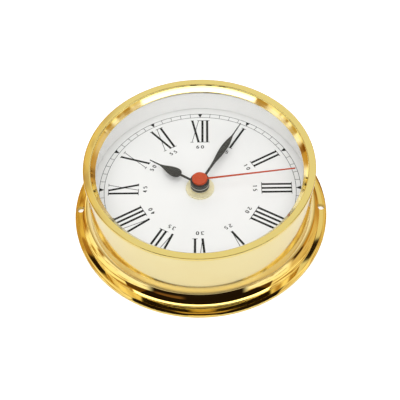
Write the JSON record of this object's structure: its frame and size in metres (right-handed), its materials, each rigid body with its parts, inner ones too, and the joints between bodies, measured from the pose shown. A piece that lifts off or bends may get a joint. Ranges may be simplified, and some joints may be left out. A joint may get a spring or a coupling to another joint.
{
  "type": "marine clock",
  "caption": "Round brass ship's clock with a screw-down base flange, rolled bezel, flat glass, white dial with Roman hours, leaf hands and a quartz movement.",
  "frame": {"origin": "centre of the mounting face behind the base flange", "axes": "+Z leaves the dial towards the reader, +Y points to XII, +X points to III"},
  "size_m": [0.12, 0.12, 0.0356],
  "materials": {
    "case_brass": "polished and lacquered",
    "pale_brass": "turned, pale",
    "glass": "clear flat mineral glass",
    "seal_rubber": "matte",
    "white_plastic": "satin white",
    "dial_white": "satin white paint",
    "hand_black": "satin black paint",
    "hand_red": "satin red paint",
    "black_plastic": "moulded, fine grain",
    "gear_nylon": "natural nylon",
    "bright_steel": "plated",
    "coil_copper": "enamelled wire",
    "board_resin": "green solder resist",
    "cell_jacket": "plain grey jacket"
  },
  "bodies": {
    "case": {"case_shell": "case_brass", "bezel_ring": "case_brass", "glass_gasket": "seal_rubber", "glass_lens": "glass", "spacer_ring": "white_plastic", "dial_plate": "dial_white", "rear_ring": "black_plastic", "back_plate": "black_plastic", "back_screws": "bright_steel", "fixing_nut": "pale_brass", "rubber_washer": "seal_rubber", "threaded_bushing": "pale_brass", "front_housing": "black_plastic", "rear_housing": "black_plastic", "gear_bridge": "gear_nylon", "circuit_board": "board_resin", "control_chip": "black_plastic", "quartz_crystal": "bright_steel", "motor_stator": "bright_steel", "motor_core": "bright_steel", "coil_bobbin": "gear_nylon", "drive_coil": "coil_copper", "motor_screws": "bright_steel", "power_cell": "cell_jacket", "positive_contact": "bright_steel", "negative_contact": "bright_steel"},
    "second": {"second_wheel": "gear_nylon", "second_hand": "hand_red"},
    "rotor": {"rotor": "bright_steel"},
    "step": {"step_wheel": "gear_nylon"},
    "third": {"third_wheel": "gear_nylon"},
    "centre": {"centre_wheel": "gear_nylon"},
    "minute": {"minute_arbor": "pale_brass", "clutch_spring": "bright_steel", "clutch_collar": "pale_brass", "minute_hand": "hand_black"},
    "motion": {"motion_wheel": "gear_nylon", "setting_knob": "black_plastic"},
    "hour": {"hour_wheel": "gear_nylon", "hour_hand": "hand_black"}
  },
  "joints": [
    {"name": "second_hand_turn", "type": "hinge", "parent": "case", "child": "second", "pos_m": [0, 0, 0.02], "axis": [0, 0, -1], "continuous": true},
    {"name": "rotor_turn", "type": "hinge", "parent": "case", "child": "rotor", "pos_m": [0.00787, 0.01574, 0.006], "axis": [0, 0, -1], "continuous": true},
    {"name": "step_wheel_turn", "type": "hinge", "parent": "case", "child": "step", "pos_m": [0.00168, 0.00955, 0.006], "axis": [0, 0, -1], "continuous": true},
    {"name": "third_wheel_turn", "type": "hinge", "parent": "case", "child": "third", "pos_m": [-0.00861, 0.00401, 0.006], "axis": [0, 0, -1], "continuous": true},
    {"name": "centre_wheel_turn", "type": "hinge", "parent": "case", "child": "centre", "pos_m": [0, 0, 0.0095], "axis": [0, 0, -1], "continuous": true},
    {"name": "minute_hand_turn", "type": "hinge", "parent": "case", "child": "minute", "pos_m": [0, 0, 0.02], "axis": [0, 0, -1], "continuous": true},
    {"name": "setting_knob_turn", "type": "hinge", "parent": "case", "child": "motion", "pos_m": [0.00998, 0.00176, 0.006], "axis": [0, 0, -1], "continuous": true},
    {"name": "hour_hand_turn", "type": "hinge", "parent": "case", "child": "hour", "pos_m": [0, 0, 0.02], "axis": [0, 0, -1], "continuous": true}
  ],
  "couplings": [
    {"joint": "rotor_turn", "follows": "second_hand_turn", "ratio": 30},
    {"joint": "step_wheel_turn", "follows": "second_hand_turn", "ratio": -5},
    {"joint": "third_wheel_turn", "follows": "second_hand_turn", "ratio": -0.13333},
    {"joint": "centre_wheel_turn", "follows": "second_hand_turn", "ratio": 0.016667},
    {"joint": "setting_knob_turn", "follows": "minute_hand_turn", "ratio": -0.33333},
    {"joint": "hour_hand_turn", "follows": "minute_hand_turn", "ratio": 0.083333}
  ]
}
